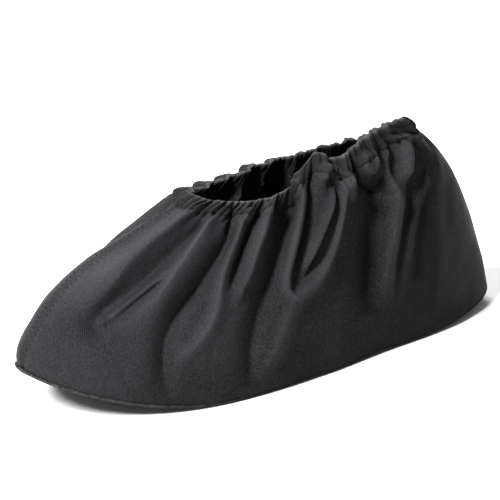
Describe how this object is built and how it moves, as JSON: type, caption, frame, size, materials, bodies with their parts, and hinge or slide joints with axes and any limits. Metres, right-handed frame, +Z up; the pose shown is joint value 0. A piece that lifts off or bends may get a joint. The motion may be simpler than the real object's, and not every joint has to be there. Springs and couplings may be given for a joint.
{
  "type": "overshoe",
  "caption": "Black woven cloth overshoe with gathered elastic mouth, side panels in deep soft folds and a flat sole turned up at the toe.",
  "frame": {"origin": "middle of the box around the overshoe, on the floor under its sole", "axes": "+X from the toe to the heel, +Y to the right side, +Z up to the mouth"},
  "size_m": [0.317, 0.1079, 0.129],
  "materials": {
    "black_cloth": "woven polyester with a soft sheen",
    "black_hem": "gathered woven polyester, matt",
    "grey_sole": "coarse cloth with anti-slip dots"
  },
  "bodies": {
    "root": {"left_panel": "black_cloth", "right_panel": "black_cloth", "elastic_hem": "black_hem", "sole": "grey_sole"}
  },
  "joints": []
}
